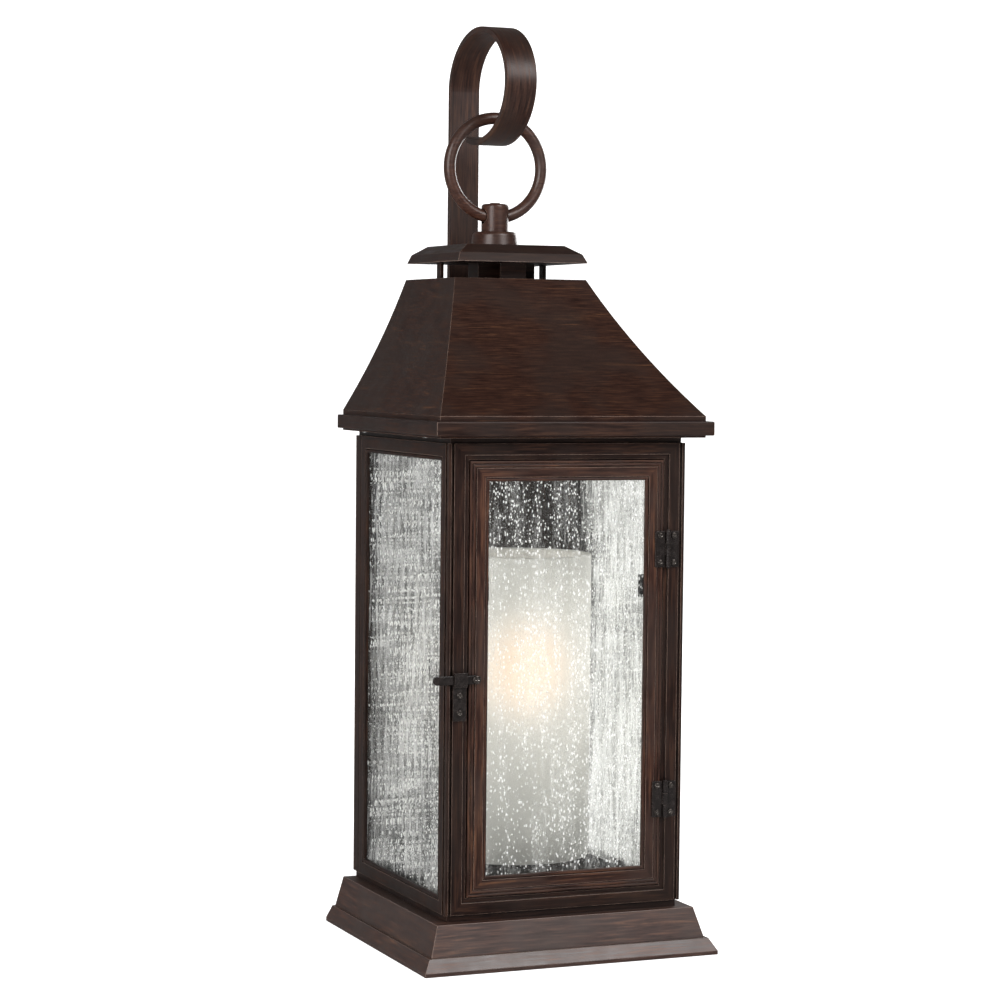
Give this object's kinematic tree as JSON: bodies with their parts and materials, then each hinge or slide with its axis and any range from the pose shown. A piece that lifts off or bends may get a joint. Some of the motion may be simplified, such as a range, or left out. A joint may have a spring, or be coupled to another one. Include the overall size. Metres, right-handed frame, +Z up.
{
  "type": "outdoor wall lantern",
  "caption": "Flat-backed outdoor wall lantern with seeded glass, a hinged latched door, a frosted candle-tube shade, a flared roof and a shepherd's-crook strap with ring.",
  "frame": {"origin": "centre of the wall plate's back face, on the wall", "axes": "+Z up; -Y out of the wall towards the door; +X to the right as seen from the front"},
  "size_m": [0.245, 0.2483, 0.7308],
  "materials": {
    "bronze_paint": "satin, brushed copper-bronze glaze",
    "dark_bronze": "satin blackened bronze",
    "seeded_glass": "clear with seed bubbles",
    "frosted_glass": "frosted",
    "bulb_glass": "frosted, lit",
    "zinc_steel": "zinc plated",
    "brass": "plain",
    "porcelain": "glazed",
    "lead_sheath": "matt"
  },
  "bodies": {
    "lantern": {"canopy": "bronze_paint", "crook_strap": "bronze_paint", "base_foot": "bronze_paint", "base_plinth": "bronze_paint", "floor_plate": "bronze_paint", "post_front_left": "bronze_paint", "post_front_right": "bronze_paint", "post_rear_left": "bronze_paint", "post_rear_right": "bronze_paint", "back_panel": "bronze_paint", "front_frame": "bronze_paint", "left_frame": "bronze_paint", "right_frame": "bronze_paint", "head_frame": "bronze_paint", "soffit": "bronze_paint", "eave_band": "bronze_paint", "roof_shell": "bronze_paint", "vent_brackets": "bronze_paint", "vent_baffle": "bronze_paint", "cap_top": "bronze_paint", "cap_plate": "bronze_paint", "ring_flange": "bronze_paint", "ring_post": "bronze_paint", "shade_seat": "bronze_paint", "wire_channel": "bronze_paint", "upper_frame_leaf": "dark_bronze", "lower_frame_leaf": "dark_bronze", "hinge_pins": "dark_bronze", "frame_screws": "dark_bronze", "keeper": "dark_bronze", "pane_clips": "dark_bronze", "soffit_screws": "dark_bronze", "canopy_screws": "dark_bronze", "body_screws": "dark_bronze", "left_pane": "seeded_glass", "right_pane": "seeded_glass", "shade_cylinder": "frosted_glass", "bulb_glass": "bulb_glass", "wall_plate": "zinc_steel", "strap_block": "zinc_steel", "strap_screws": "zinc_steel", "base_screws": "zinc_steel", "cap_rod": "zinc_steel", "rod_nut": "zinc_steel", "lamp_tube": "zinc_steel", "tube_nuts": "zinc_steel", "socket_shell": "brass", "bulb_cap": "brass", "lamp_socket": "porcelain", "lamp_lead": "lead_sheath", "terminal_block": "lead_sheath"},
    "door": {"door_frame": "bronze_paint", "door_glass": "seeded_glass", "door_clips": "dark_bronze", "upper_door_leaf": "dark_bronze", "lower_door_leaf": "dark_bronze", "door_hinge_screws": "dark_bronze", "latch_screw": "dark_bronze"},
    "latch": {"latch_bar": "dark_bronze"},
    "ring": {"ring": "bronze_paint"}
  },
  "joints": [
    {"name": "door_hinge", "type": "hinge", "parent": "lantern", "child": "door", "pos_m": [0.0843, -0.22885, 0], "axis": [0, 0, 1], "range_deg": [0, 165]},
    {"name": "latch_pivot", "type": "hinge", "parent": "door", "child": "latch", "pos_m": [-0.0755, -0.2279, -0.0792], "axis": [0, 1, 0], "range_deg": [0, 95]},
    {"name": "ring_swing", "type": "hinge", "parent": "lantern", "child": "ring", "pos_m": [0, -0.074, 0.2778], "axis": [1, 0, 0], "range_deg": [-22, 14]}
  ]
}
